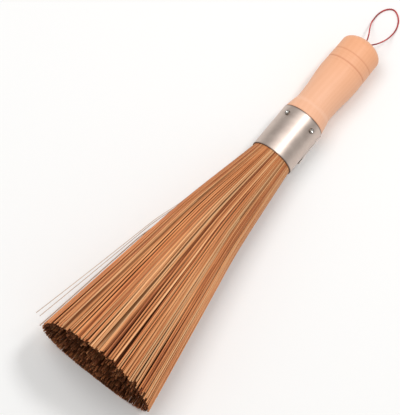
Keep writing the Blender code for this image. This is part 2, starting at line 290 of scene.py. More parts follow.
def bamboo_material(name, stops, cut_dark, cut_light):
    """Split bamboo: each splint has its own tone, with fibres along it and a dark cut end; the attribute shade
    multiplies painted shade into the colour, on the sides and on the cut ends.
    """
    s = Shader(name, roughness=0.5, specular=0.24)
    grain = s.attribute("grain", "Vector")
    fibre = s.noise(s.stretch(grain, (0.035, 3.4, 3.4)), 1.0, 4.0, 0.62)
    fine = s.noise(s.stretch(grain, (0.09, 11.0, 11.0)), 1.0, 2.0, 0.5)
    patch = s.noise(s.stretch(grain, (0.022, 0.35, 0.35)), 1.0, 2.0, 0.5)
    tone = s.math("ADD", s.attribute("tint"), s.span(patch, 0.3, 0.7, -0.12, 0.12))
    tone = s.math("ADD", tone, s.span(fibre, 0.25, 0.75, -0.15, 0.15))
    colour = s.ramp(tone, stops)
    streak = s.grey(s.span(fine, 0.3, 0.72, 0.80, 1.10, "LINEAR"))
    colour = s.mix(1.0, colour, streak, "MULTIPLY")
    # painted shade: deep, sunk and inner splints and those by the mouth are darkened by the shade attribute
    colour = s.mix(1.0, colour, s.grey(s.attribute("shade")), "MULTIPLY")
    pith = s.noise(s.stretch(grain, (0.0, 5.0, 5.0)), 1.0, 2.0, 0.6)
    each = s.noise(s.stretch(grain, (0.0, 0.31, 0.31)), 1.0, 0.0, 0.5)
    end = s.math("MULTIPLY", s.span(each, 0.36, 0.66), s.span(pith, 0.25, 0.65, 0.55, 1.0))
    cut = s.mix(end, (*cut_dark, 1), (*cut_light, 1))
    # painted light and shade on the cut ends: their colour is scaled by the shade attribute
    cut = s.mix(1.0, cut, s.grey(s.span(s.attribute("shade"), 0.1, 0.95, 0.42, 1.90, "LINEAR")), "MULTIPLY")
    colour = s.mix(s.attribute("cut"), colour, cut)
    sheen = s.span(s.attribute("shade"), 0.15, 0.9, 0.04, 0.25, "LINEAR")      # little light gets between the splints
    s.put(s.bsdf, "Specular IOR Level", s.math("MULTIPLY", sheen, s.span(s.attribute("cut"), 0.0, 1.0, 1.0, 0.25)))
    rough = s.span(fibre, 0.2, 0.8, 0.40, 0.62)
    normal = s.bump(fibre, 0.35, 0.00012)
    normal = s.bump(fine, 0.25, 0.00005, normal)
    return s.finish(colour, rough, normal)


def wood_material():
    """Pale hardwood under a thin lacquer, its grain along the handle, stained in the turned grooves; a painted
    highlight along the collar's edge and painted shade on the collar beside the ferrule.
    """
    s = Shader("handle_wood", roughness=0.5, specular=0.26, coat=0.04, coat_roughness=0.35)
    grain = s.attribute("grain", "Vector")
    n = s.tree.nodes.new("ShaderNodeVectorMath")
    n.operation = "ADD"
    s.put(n, 0, grain)
    n.inputs[1].default_value = (0.0, 41.0, 23.0)
    warp = s.noise(s.stretch(grain, (0.03, 0.09, 0.09)), 1.0, 2.0, 0.5)
    wave = s.tree.nodes.new("ShaderNodeTexWave")
    wave.wave_type = "RINGS"
    wave.rings_direction = "X"
    s.put(wave, "Vector", s.stretch(n.outputs["Vector"], (0.02, 0.30, 0.30)))
    wave.inputs["Scale"].default_value = 0.42
    wave.inputs["Distortion"].default_value = 3.2
    wave.inputs["Detail"].default_value = 2.0
    wave.inputs["Detail Scale"].default_value = 0.7
    rings = wave.outputs["Fac"]
    fibre = s.noise(s.stretch(grain, (0.05, 2.2, 2.2)), 1.0, 4.0, 0.6)
    mottle = s.noise(s.stretch(grain, (0.10, 0.22, 0.22)), 1.0, 3.0, 0.5)
    tone = s.math("ADD", s.math("MULTIPLY", rings, 0.30), s.math("MULTIPLY", fibre, 0.45))
    tone = s.math("ADD", tone, s.math("MULTIPLY", mottle, 0.45))
    colour = s.ramp(tone, [(0.25, (0.845, 0.432, 0.252)), (0.55, (0.862, 0.446, 0.264)),
                           (0.72, (0.872, 0.456, 0.273)), (0.95, (0.885, 0.472, 0.288))])
    vor = s.tree.nodes.new("ShaderNodeTexVoronoi")
    s.put(vor, "Vector", s.stretch(grain, (0.16, 1.15, 1.15)))
    vor.inputs["Scale"].default_value = 1.0
    vor.inputs["Randomness"].default_value = 1.0
    few = s.span(s.noise(s.stretch(grain, (0.07, 0.4, 0.4)), 1.0, 1.0), 0.50, 0.68)
    fleck = s.math("MULTIPLY", s.span(vor.outputs["Distance"], 0.10, 0.24, 1.0, 0.0), few)
    colour = s.mix(s.math("MULTIPLY", fleck, 0.16), colour, (0.58, 0.27, 0.14, 1))
    colour = s.mix(s.math("MULTIPLY", warp, 0.06), colour, (0.91, 0.54, 0.34, 1))
    tint = s.mix(s.attribute("ripe"), (1.01, 1.06, 1.12, 1), (1.0, 0.935, 0.86, 1))
    colour = s.mix(1.0, colour, tint, "MULTIPLY")
    # painted highlight: the collar's edge is made paler
    colour = s.mix(s.math("MULTIPLY", s.attribute("collar_painted_highlight"), 0.5), colour, (0.93, 0.56, 0.39, 1))
    # the grooves' own stain, and painted shade next to the ferrule, both through the attribute stain
    colour = s.mix(s.attribute("stain"), colour, (0.46, 0.125, 0.058, 1))
    rough = s.span(s.math("ADD", fibre, s.attribute("stain")), 0.3, 1.2, 0.46, 0.66)
    normal = s.bump(fibre, 0.08, 0.00006)
    normal = s.bump(s.math("MULTIPLY", fleck, -1.0), 0.25, 0.00008, normal)
    return s.finish(colour, rough, normal)


def steel_material():
    """Satin stainless sheet with fine polishing lines round it, light scuffs, and painted shade: a dark brown line
    along both rims and a darker cut edge of the lap.
    """
    s = Shader("ferrule_steel", roughness=0.4, metallic=1.0)
    grain = s.attribute("grain", "Vector")
    lines = s.noise(s.stretch(grain, (5.0, 0.10, 1.0)), 1.0, 3.0, 0.6)
    cloud = s.noise(s.stretch(grain, (0.14, 0.10, 1.0)), 1.0, 3.0, 0.55)
    scuff = s.noise(s.stretch(grain, (0.9, 0.35, 1.0)), 1.0, 5.0, 0.7, 0.6)
    worn = s.math("MULTIPLY", s.span(scuff, 0.60, 0.72), s.span(s.attribute("stain"), 0.0, 1.0, 0.25, 1.0))
    colour = s.mix(s.span(cloud, 0.3, 0.7), (0.585, 0.485, 0.43, 1), (0.645, 0.545, 0.485, 1))
    colour = s.mix(s.math("MULTIPLY", worn, 0.4), colour, (0.40, 0.32, 0.26, 1))
    # painted shade on the lap's cut edge, dulling its reflection
    colour = s.mix(s.math("MULTIPLY", s.attribute("edge"), 0.8), colour, (0.17, 0.15, 0.14, 1))
    # painted shade: a dark brown line along both rims
    colour = s.mix(s.math("MULTIPLY", s.attribute("rim"), 0.9), colour, (0.10, 0.055, 0.035, 1))
    rough = s.math("ADD", s.span(lines, 0.2, 0.8, 0.39, 0.46), s.math("MULTIPLY", worn, 0.14))
    rough = s.math("ADD", rough, s.span(cloud, 0.3, 0.7, -0.02, 0.04))
    normal = s.bump(lines, 0.05, 0.00002)
    return s.finish(colour, rough, normal)


def nail_material():
    s = Shader("nail_steel", roughness=0.2, metallic=1.0)
    grain = s.attribute("grain", "Vector")
    spots = s.noise(grain, 1.6, 3.0, 0.6)
    colour = s.mix(s.span(spots, 0.35, 0.7), (0.60, 0.58, 0.55, 1), (0.74, 0.72, 0.69, 1))
    # painted shade round the outer ring of the head
    colour = s.mix(s.math("MULTIPLY", s.attribute("rim"), 0.8), colour, (0.12, 0.085, 0.06, 1))
    rough = s.span(spots, 0.3, 0.7, 0.12, 0.26)
    return s.finish(colour, rough, s.bump(spots, 0.15, 0.00006))


def cord_material(name, dark, mid, light):
    """Twisted fibre cord: fine filaments along each strand, a little faded in places along it, and painted shade on
    each strand's inner side.
    """
    s = Shader(name, roughness=0.75, specular=0.25)
    s.bsdf.inputs["Sheen Weight"].default_value = 0.35
    s.bsdf.inputs["Sheen Roughness"].default_value = 0.5
    grain = s.attribute("grain", "Vector")
    fibre = s.noise(s.stretch(grain, (0.5, 9.0, 9.0)), 1.0, 3.0, 0.6)
    fade = s.noise(s.stretch(grain, (0.07, 0.0, 0.0)), 1.0, 2.0, 0.5)
    tone = s.math("ADD", s.math("MULTIPLY", fibre, 0.55), s.math("MULTIPLY", s.span(fade, 0.3, 0.7), 0.40))
    colour = s.ramp(tone, [(0.25, dark), (0.52, mid), (0.85, light)])
    # painted shade from the shade attribute
    colour = s.mix(1.0, colour, s.grey(s.attribute("shade")), "MULTIPLY")
    rough = s.span(fibre, 0.3, 0.7, 0.65, 0.85)
    return s.finish(colour, rough, s.bump(fibre, 0.5, 0.00008))


# ---- mesh helpers ----------------------------------------------------------
def new_object(name, mesh, mat):
    ob = bpy.data.objects.new(name, mesh)
    bpy.context.scene.collection.objects.link(ob)
    mesh.materials.clear()
    mesh.materials.append(mat)
    return ob


def put_float(mesh, name, values, domain="POINT"):
    att = mesh.attributes.new(name, "FLOAT", domain)
    att.data.foreach_set("value", np.asarray(values, np.float32).ravel())


def put_vector(mesh, name, values):
    att = mesh.attributes.new(name, "FLOAT_VECTOR", "POINT")
    att.data.foreach_set("vector", np.asarray(values, np.float32).ravel())


def smooth_shade(mesh, degrees=35):
    mesh.shade_smooth()
    mesh.set_sharp_from_angle(angle=math.radians(degrees))


def splint_mesh(name, centre, width, height, roll, tint, shade, ident, u0=0.0):
    """One mesh of many splints.  centre: (n, S, 3) mm; across each, an eight-sided flat section.

    Each splint has its own strip in the map OFBake, unrolled across and running along."""
    n, S, _ = centre.shape
    K = 8
    turn = roll                                     # (n, S) direction of the flat outer face
    out, side = direction(turn), tangent(turn)
    a, b = width / 2, height / 2                    # (n,)
    c = np.minimum(a, b) * 0.34
    su = np.stack([a, a - c, -a + c, -a, -a, -a + c, a - c, a], 1)
    sv = np.stack([b - c, b, b, b - c, -b + c, -b, -b, -b + c], 1)
    ring = (centre[:, :, None, :] + su[:, None, :, None] * side[:, :, None, :]
            + sv[:, None, :, None] * out[:, :, None, :])              # (n, S, K, 3)
    last = ring[:, -1:, :, :].copy()
    mid = last.mean(2, keepdims=True)
    bevel = mid + (last - mid) * 0.80
    ring[:, -1, :, 0] += 0.07
    rings = np.concatenate([ring, bevel], 1)                          # (n, S+1, K, 3)
    S1 = S + 1
    verts = place(rings.reshape(-1, 3))
    local = np.stack([np.broadcast_to(rings[..., 0], (n, S1, K)),
                      np.broadcast_to(su[:, None, :] + 7.3 * ident[:, None, None], (n, S1, K)),
                      np.broadcast_to(sv[:, None, :] + 3.1 * ident[:, None, None], (n, S1, K))], -1)
    faces, uvs, cut = [], [], []
    pad = 0.06
    for i in range(n):
        base = i * S1 * K
        left = (i + pad) / n
        step = (1 - 2 * pad) / n / K
        for r in range(S1 - 1):
            v0, v1 = 0.01 + 0.93 * r / (S1 - 1), 0.01 + 0.93 * (r + 1) / (S1 - 1)
            for k in range(K):
                k2 = (k + 1) % K
                p, q = base + r * K, base + (r + 1) * K
                faces.append((p + k, q + k, q + k2, p + k2))
                ua, ub = left + step * k, left + step * (k + 1)
                uvs += [(ua, v0), (ua, v1), (ub, v1), (ub, v0)]
                cut.append(1.0 if r == S1 - 2 else 0.0)
        for cap, rr, order in ((0, 0, range(K)), (1, S1 - 1, range(K - 1, -1, -1))):
            faces.append(tuple(base + rr * K + k for k in order))
            cu, cv = (i + (0.28 if cap == 0 else 0.72)) / n, 0.97
            ru, rv = 0.18 / n, 0.012
            for k in order:
                ang = 2 * math.pi * (k + 0.5) / K
                uvs.append((cu + ru * math.cos(ang), cv + rv * math.sin(ang)))
            cut.append(1.0 if cap else 0.0)
    mesh = bpy.data.meshes.new(name)
    mesh.from_pydata(verts.tolist(), [], faces)
    layer = mesh.uv_layers.new(name="OFBake")
    layer.data.foreach_set("uv", np.array(uvs, np.float32).ravel())
    put_float(mesh, "cut", cut, "FACE")
    put_float(mesh, "tint", np.repeat(tint, S1 * K))
    sh = np.concatenate([shade, shade[:, -1:]], 1)
    put_float(mesh, "shade", np.repeat(sh.reshape(-1), K))
    put_vector(mesh, "grain", local.reshape(-1, 3))
    smooth_shade(mesh, 50)
    return mesh


def turned_mesh(name, profile, steps, stain=None):
    """A turned solid about the brush axis from (x, r) points; r = 0 at both ends."""
    verts, faces = [], []
    rows = []
    for x, r in profile:
        if r < 1e-6:
            rows.append([len(verts)])
            verts.append((x, 0.0, 0.0))
        else:
            rows.append(list(range(len(verts), len(verts) + steps)))
            for k in range(steps):
                t = 2 * math.pi * k / steps
                verts.append((x, r * math.sin(t), r * math.cos(t)))
    for a, b in zip(rows, rows[1:]):
        for k in range(steps):
            k2 = (k + 1) % steps
            if len(a) == 1 and len(b) == 1:
                continue
            if len(a) == 1:
                faces.append((a[0], b[k], b[k2]))
            elif len(b) == 1:
                faces.append((a[k], b[0], a[k2]))
            else:
                faces.append((a[k], b[k], b[k2], a[k2]))
    mesh = bpy.data.meshes.new(name)
    mesh.from_pydata(place(verts).tolist(), [], faces)
    bm = bmesh.new()
    bm.from_mesh(mesh)
    bmesh.ops.recalc_face_normals(bm, faces=bm.faces)
    bm.to_mesh(mesh)
    bm.free()
    put_vector(mesh, "grain", verts)
    if stain is not None:
        put_float(mesh, "stain", [stain(v[0]) for v in verts])
    return mesh


def spline_through(points, spacing):
    """A smooth profile through (x, r) points by Catmull-Rom, at about the given spacing."""
    p = [Vector(q).to_2d() for q in points]
    ext = [2 * p[0] - p[1]] + p + [2 * p[-1] - p[-2]]
    out = []
    for i in range(1, len(ext) - 2):
        p0, p1, p2, p3 = ext[i - 1:i + 3]
        n = max(1, round((p2 - p1).length / spacing))
        for k in range(n):
            t = k / n
            out.append(0.5 * (2 * p1 + (p2 - p0) * t + (2 * p0 - 5 * p1 + 4 * p2 - p3) * t * t
                              + (3 * p1 - 3 * p2 + p3 - p0) * t ** 3))
    out.append(p[-1])
    return [(v.x, v.y) for v in out]


# ---- hanging cord ----------------------------------------------------------
CORD_ROUTE = [(106.2, 1.2, 0.0), (109.2, 1.8, -0.3), (113.6, 3.6, -2.2), (117.1, 5.4, -4.7),
              (120.9, 7.2, -7.7), (125.6, 9.0, -11.1), (129.9, 9.7, -12.9), (134.0, 9.6, -13.0),
              (138.0, 8.5, -12.9), (140.8, 6.8, -12.8), (142.7, 4.6, -12.75), (143.2, 2.0, -12.75),
              (141.9, -1.0, -12.8), (139.4, -3.8, -12.85), (136.1, -5.7, -12.95), (132.6, -6.8, -12.95),
              (129.0, -7.2, -12.4), (124.4, -7.3, -10.3), (119.1, -7.1, -6.4), (114.3, -6.4, -2.8),
              (110.7, -5.2, -0.8), (108.2, -3.6, -0.1), (106.2, -1.95, 0.0)]


def cord_path(spacing):
    """The loop's centreline, with both legs carried on into the hole."""
    pts = [Vector(p) for p in CORD_ROUTE]
    ext = [2 * pts[0] - pts[1]] + pts + [2 * pts[-1] - pts[-2]]
    fine = []
    for i in range(1, len(ext) - 2):
        p0, p1, p2, p3 = ext[i - 1:i + 3]
        for k in range(40):
            t = k / 40
            fine.append(0.5 * (2 * p1 + (p2 - p0) * t + (2 * p0 - 5 * p1 + 4 * p2 - p3) * t * t
                               + (3 * p1 - 3 * p2 + p3 - p0) * t ** 3))
    fine.append(pts[-1])
    fine = [Vector((103.6, 0.95, 0.0))] + fine + [Vector((103.6, -1.35, 0.0))]
    co = np.array([tuple(p) for p in fine])
    run = np.concatenate([[0], np.cumsum(np.linalg.norm(np.diff(co, axis=0), axis=1))])
    count = int(run[-1] / spacing)
    want = np.linspace(0, run[-1], count + 1)
    return np.stack([np.interp(want, run, co[:, i]) for i in range(3)], 1), run[-1]


def make_cord(mat):
    path, length = cord_path(0.28)
    n = len(path)
    along = np.gradient(path, axis=0)
    along /= np.linalg.norm(along, axis=1)[:, None]
    normal = np.zeros((n, 3))
    normal[0] = (0, 0, 1)
    for i in range(1, n):
        v = normal[i - 1] - along[i] * np.dot(normal[i - 1], along[i])
        normal[i] = v / np.linalg.norm(v)
    binormal = np.cross(along, normal)
    run = np.linspace(0, length, n)
    strands, sides, pitch = 3, 8, 3.4
    lay_r, strand_r = 0.285, 0.265
    verts, faces, grain, shade = [], [], [], []
    for s in range(strands):
        turn = 2 * math.pi * (run / pitch + s / strands)
        swell = 1 + 0.04 * np.sin(run * 0.9 + s) + 0.03 * np.sin(run * 2.3 + 2 * s)
        hub = path + lay_r * (np.cos(turn)[:, None] * normal + np.sin(turn)[:, None] * binormal)
        base = len(verts)
        for i in range(n):
            radial = math.cos(turn[i]) * normal[i] + math.sin(turn[i]) * binormal[i]
            round_ = -math.sin(turn[i]) * normal[i] + math.cos(turn[i]) * binormal[i]
            for k in range(sides):
                a = 2 * math.pi * k / sides
                r = strand_r * swell[i]
                verts.append(hub[i] + r * (math.cos(a) * radial + math.sin(a) * round_))
                grain.append((run[i], math.cos(a) * 0.3 + 5 * s, math.sin(a) * 0.3))
                # painted shade on each strand's inner side, where the strands press together
                shade.append(0.72 + 0.28 * (0.5 + 0.5 * math.cos(a)))
        for i in range(n - 1):
            for k in range(sides):
                k2 = (k + 1) % sides
                p, q = base + i * sides, base + (i + 1) * sides
                faces.append((p + k, p + k2, q + k2, q + k))
        faces.append(tuple(base + k for k in range(sides - 1, -1, -1)))
        faces.append(tuple(base + (n - 1) * sides + k for k in range(sides)))
    mesh = bpy.data.meshes.new("hanging_cord_twisted")
    mesh.from_pydata(place(verts).tolist(), [], faces)
    bm = bmesh.new()
    bm.from_mesh(mesh)
    bmesh.ops.recalc_face_normals(bm, faces=bm.faces)
    bm.to_mesh(mesh)
    bm.free()
    put_vector(mesh, "grain", grain)
    put_float(mesh, "shade", shade)
    smooth_shade(mesh, 60)
    ob = new_object("hanging_cord_twisted", mesh, mat)
    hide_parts("hanging_cord")
    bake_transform(ob)
    return ob


# ---- handle ----------------------------------------------------------------
def make_handle(mat):
    hole = CORD_HOLE_R
    first = math.asin(min(1.0, (hole + 0.45) / DOME_R))
    prof = [(HANDLE_END - CORD_HOLE_DEPTH, 0.0), (HANDLE_END - CORD_HOLE_DEPTH, hole)]
    lip = HANDLE_END - DOME_H + DOME_H * math.cos(first)
    for k in range(7):                              # rounded rim of the hole
        a = math.pi / 2 * k / 6
        prof.append((lip - 0.45 + 0.45 * math.sin(a), hole + 0.45 - 0.45 * math.cos(a)))
    for i in range(1, 31):
        a = first + (math.pi / 2 - first) * i / 30
        prof.append((HANDLE_END - DOME_H + DOME_H * math.cos(a), DOME_R * math.sin(a)))
    body = [(97.0, 14.655), (93.0, 14.66), (89.0, 14.72), (86.0, 14.80), (82.2, 14.88), (78.0, 14.96),
            (74.4, 14.99), (70.8, 14.86), (67.3, 14.60), (63.8, 14.24), (60.5, 13.84), (56.7, 13.52),
            (53.0, 13.32), (49.6, 13.21), (46.6, 13.20), (45.2, 13.28)]
    long = spline_through([(97.9, 14.65)] + body, 0.35)
    # the turned rings: two cut grooves and the faint marks of the tool beside them
    marks = [(GROOVE_A, 0.20, 0.46), (GROOVE_B, 0.26, 0.50), (86.1, 0.03, 0.3), (84.4, 0.04, 0.3),
             (79.0, 0.04, 0.35), (95.6, 0.03, 0.4), (47.2, 0.04, 0.35)]
    for x, r in long[1:]:
        dip = sum(d * math.exp(-((x - at) / w) ** 2) for at, d, w in marks)
        prof.append((x, r - dip))
    collar = [(44.5, 13.40), (44.0, 13.62), (43.2, 13.82), (41.6, 14.14), (39.5, 14.50),
              (37.2, 14.90), (35.6, 15.16)]
    prof += spline_through(collar, 0.4)
    shoulder = FERRULE_LEN + 0.12
    prof += [(35.1, 15.18), (shoulder + 0.1, 15.12), (shoulder, 14.95), (shoulder, 14.65)]
    prof += [(30.0, 14.64), (24.0, 14.64), (18.6, 14.62), (18.0, 14.2), (18.0, 9.2)]
    prof += [(17.6, 8.85), (12.0, 5.75), (6.5, 2.7), (3.7, 1.05), (3.5, 0.8), (3.5, 0.0)]

    def stain(x):
        v = 0.44 * math.exp(-((x - GROOVE_B) / 0.52) ** 2)
        v += 0.30 * math.exp(-((x - GROOVE_A) / 0.52) ** 2)
        # painted shade on the collar next to the ferrule's rim
        v += 0.30 * math.exp(-((x - 34.7) / 0.45) ** 2)
        v += sum(a * math.exp(-((x - at) / 0.40) ** 2) for at, a in ((86.1, 0.05), (84.4, 0.05), (79.0, 0.07), (95.6, 0.03)))
        return min(1.0, v)

    mesh = turned_mesh("handle_turned", prof, 144, stain)
    xs = np.array([a.vector[0] for a in mesh.attributes["grain"].data])
    put_float(mesh, "collar_painted_highlight", np.exp(-((xs - 43.0) / 1.3) ** 2))        # painted highlight along the collar's edge
    put_float(mesh, "ripe", np.clip((xs - 50.0) / 47.0, 0, 1))          # the wood deepens towards the dome
    smooth_shade(mesh, 40)
    ob = new_object("handle_turned", mesh, mat)
    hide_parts("handle")
    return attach(ob, "brush_body")


def make_plug(mat):
    """The knotted ends of the cord, pulled up inside the hole."""
    high, low, r = 104.9, HANDLE_END - CORD_HOLE_DEPTH + 0.3, CORD_HOLE_R - 0.12
    prof = [(high, 0.0)]
    for k in range(1, 8):
        a = math.pi / 2 * k / 7
        prof.append((high - 0.6 + 0.6 * math.cos(a), r * math.sin(a)))
    prof += [(high - 0.6 - (high - low - 1.2) * i / 14, r) for i in range(1, 15)]
    prof += [(low + 0.2, r * 0.8), (low, 0.0)]
    mesh = turned_mesh("cord_knot", prof, 32)
    co = np.zeros(len(mesh.vertices) * 3)
    mesh.vertices.foreach_get("co", co)
    co = co.reshape(-1, 3)
    loc = (co - np.array(ORIGIN)) @ SPIN / MM
    ang = np.arctan2(loc[:, 1], loc[:, 2])
    lump = 1 - 0.09 * (0.5 + 0.5 * np.sin(3 * ang + loc[:, 0] * 1.9))
    loc[:, 1:] *= lump[:, None]
    co = place(loc)
    mesh.vertices.foreach_set("co", co.ravel())
    # painted shade for the knot inside the hole
    put_float(mesh, "shade", np.full(len(co), 0.8))
    smooth_shade(mesh, 50)
    ob = new_object("cord_knot", mesh, mat)
    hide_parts("cord_plug")
    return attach(ob, "brush_body")


# ---- ferrule and nails -----------------------------------------------------
def make_ferrule(mat):
    """The rolled sheet: its outer layer laps over the inner one, with a corner that stands off."""
    mid = FERRULE_R - SHEET / 2
    total = 360.0 + LAP
    cols = 420
    rows = 60
    t = total * np.arange(cols + 1) / cols
    u = np.arange(rows + 1) / rows
    u = u - 0.145 * np.sin(2 * math.pi * u)         # more rows near both rims
    T, U = np.meshgrid(t, u)
    start = LAP_START * smooth((T - 352.0) / 7.0) ** 0.8
    X = start + (FERRULE_LEN - start) * U
    phi = T - LAP_EDGE - LAP
    R = mid + LAP_STEP * smooth((T - 340.0) / 17.0)
    R = R + LAP_LIFT * smooth((18.0 - X) / 8.0) * smooth((T - 361.0) / 17.0)
    # a very slight unevenness of the rolled sheet, and a dimple under each nail head
    R = R + 0.035 * np.sin(np.radians(phi * 3 + 40)) * np.sin(X * 0.11) + 0.02 * np.sin(np.radians(phi * 7)) * np.cos(X * 0.2)
    for turn in NAIL_TURNS:
        arc = (((phi - turn + 180) % 360) - 180) * math.pi / 180 * FERRULE_R
        d = np.sqrt(arc ** 2 + (X - NAIL_X) ** 2)
        R = R - 0.40 * np.exp(-(d / 2.4) ** 2)
    # the rim at the handle turns in a little
    R = R - 0.08 * np.exp(-((FERRULE_LEN - X) / 0.5))
    P = np.stack([X, R * np.sin(np.radians(phi)), R * np.cos(np.radians(phi))], -1)
    verts = P.reshape(-1, 3)
    w = cols + 1
    faces = [(j * w + i, j * w + i + 1, (j + 1) * w + i + 1, (j + 1) * w + i)
             for j in range(rows) for i in range(cols)]
    mesh = bpy.data.meshes.new("ferrule_sheet")
    mesh.from_pydata(place(verts).tolist(), [], faces)
    arc = np.radians(phi) * FERRULE_R
    put_vector(mesh, "grain", np.stack([X, arc, 0 * X], -1).reshape(-1, 3))
    # painted shade along both rims, where the sheet meets the splints and the handle
    rim = np.exp(-((X / 0.62) ** 2)) * (T < 361) + np.exp(-(((FERRULE_LEN - X) / 0.62) ** 2))
    put_float(mesh, "rim", np.clip(rim, 0, 1).reshape(-1))
    # painted shade on the lap's cut edge
    put_float(mesh, "edge", (T > total - 0.5).astype(float).reshape(-1))
    put_float(mesh, "stain", np.exp(-((X - 3.5) / 4.0) ** 2).reshape(-1))
    ob = new_object("ferrule_sheet", mesh, mat)
    mod = ob.modifiers.new("sheet", "SOLIDIFY")
    mod.thickness = SHEET * MM
    mod.offset = 0.0
    dg = bpy.context.evaluated_depsgraph_get()
    done = bpy.data.meshes.new_from_object(ob.evaluated_get(dg))
    ob.modifiers.clear()
    ob.data = done
    bm = bmesh.new()
    bm.from_mesh(done)
    bmesh.ops.recalc_face_normals(bm, faces=bm.faces)
    bm.to_mesh(done)
    bm.free()
    done.name = "ferrule_sheet"
    smooth_shade(done, 40)
    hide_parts("ferrule")
    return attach(ob, "brush_body")


def make_nails(mat):
    """Nails with heads dished by the hammer, seated in the dimples of the sheet."""
    seat, head_r, dish_r, dish, rim_h = 15.18, 1.8, 1.42, 0.70, 1.0
    prof = [(seat + rim_h - dish, 0.0)]
    for k in range(1, 11):
        u = k / 10
        prof.append((seat + rim_h - dish * (0.5 + 0.5 * math.cos(math.pi * u)), dish_r * u))
    for k in range(1, 9):
        a = math.pi / 2 * k / 8
        prof.append((seat + 0.16 + (rim_h - 0.16) * math.cos(a), dish_r + (head_r - dish_r) * math.sin(a)))
    prof += [(seat + 0.06, head_r), (seat, head_r * 0.97), (seat, 0.62), (7.9, 0.60), (6.3, 0.0)]
    for i, turn in enumerate(NAIL_TURNS):
        mesh = turned_mesh(f"nail_{i + 1}_domed", prof, 40)
        n = len(mesh.vertices)
        loc = np.array([a.vector[:] for a in mesh.attributes["grain"].data])
        out, side = direction(turn), tangent(turn)
        p = (np.array([NAIL_X, 0, 0]) + loc[:, :1] * out[None, :] + loc[:, 1:2] * side[None, :]
             + loc[:, 2:3] * np.array([[1.0, 0, 0]]))
        mesh.vertices.foreach_set("co", place(p).ravel())
        rad = np.linalg.norm(loc[:, 1:], axis=1)
        # painted shade round the head's outer ring, in the dimple
        put_float(mesh, "rim", np.clip((rad - 0.9) / 0.5, 0, 1) * (loc[:, 0] > seat - 0.5))
        bm = bmesh.new()
        bm.from_mesh(mesh)
        bmesh.ops.recalc_face_normals(bm, faces=bm.faces)
        bm.to_mesh(mesh)
        bm.free()
        smooth_shade(mesh, 40)
        ob = new_object(f"nail_{i + 1}_domed", mesh, mat)
        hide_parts(f"nail_{i + 1}")
        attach(ob, "brush_body")


# ---- splints ---------------------------------------------------------------
W, H = 0.90, 0.56                 # a splint's usual width and thickness
PITCH, LAYER = 0.945, 0.62        # their spacing where the ferrule clamps them


def make_clumps(rng):
    """Where the skin of the head parts into groups: (edge, next edge, pull, drop, tone)."""
    edges, t = [0.0], 0.0
    while True:
        step = rng.uniform(2.6, 8.5)
        t += math.degrees(step / float(tip_radius(np.array(t))))
        if t > 357.5:
            break
        edges.append(t)
    out = []
    for a, b in zip(edges, edges[1:] + [360.0]):
        out.append((a, b, rng.uniform(0.81, 0.94), rng.uniform(0.0, 0.50), rng.normal(0, 0.13)))
    return out


def clump_of(clumps, turn):
    t = turn % 360.0
    for c in clumps:
        if c[0] <= t < c[1]:
            return c
    return clumps[-1]


